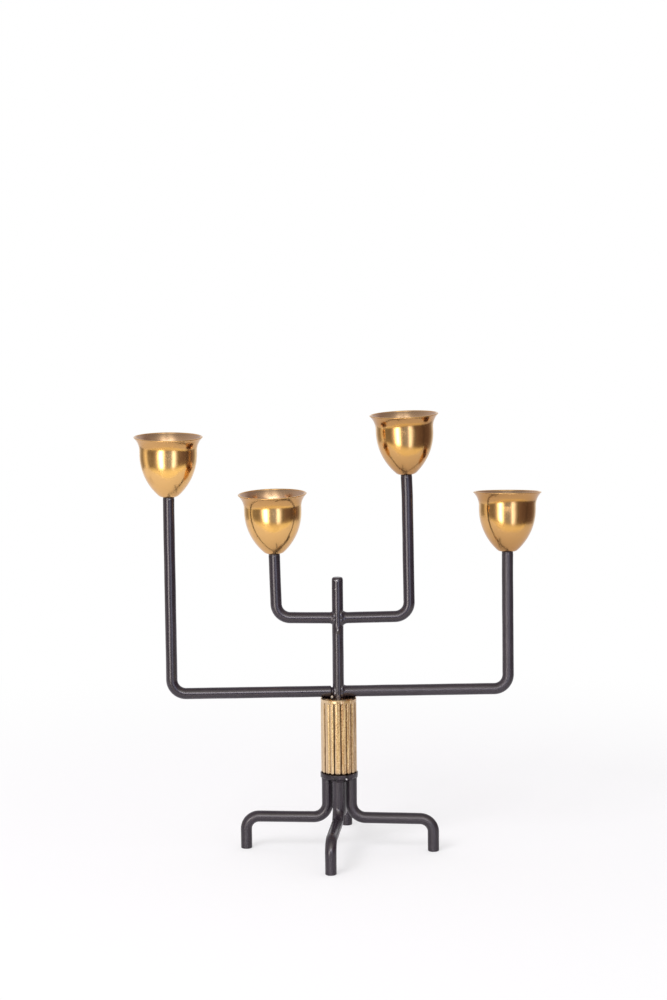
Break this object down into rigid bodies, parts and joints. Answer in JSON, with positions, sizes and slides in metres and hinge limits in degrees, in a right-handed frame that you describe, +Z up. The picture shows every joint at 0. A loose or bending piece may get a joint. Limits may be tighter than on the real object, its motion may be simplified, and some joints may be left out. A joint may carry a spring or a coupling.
{
  "type": "candlestick",
  "caption": "Branched table candlestick of bent black rod on crossed legs, with a reeded brass sleeve and flared brass candle cups at stepped heights.",
  "frame": {"origin": "on the floor, under the axis of the post", "axes": "+Z up along the post, -Y towards the viewer of the picture, +X to the viewer's right along the arms"},
  "size_m": [0.2275, 0.1119, 0.2474],
  "materials": {
    "black_rod": "satin black lacquer",
    "satin_brass": "satin, reeded",
    "polished_brass": "polished",
    "brass_screw": "turned",
    "steel_screw": "zinc plated"
  },
  "bodies": {
    "root": {"front_leg": "black_rod", "right_leg": "black_rod", "rear_leg": "black_rod", "left_leg": "black_rod", "leg_welds": "black_rod", "base_collar": "black_rod", "center_post": "black_rod", "lower_left_arm": "black_rod", "lower_right_arm": "black_rod", "upper_left_arm": "black_rod", "upper_right_arm": "black_rod", "lower_arm_welds": "black_rod", "upper_arm_welds": "black_rod", "reeded_sleeve": "satin_brass", "lower_left_cup": "polished_brass", "lower_right_cup": "polished_brass", "upper_left_cup": "polished_brass", "upper_right_cup": "polished_brass", "cup_screws": "brass_screw", "post_screw": "steel_screw"}
  },
  "joints": []
}
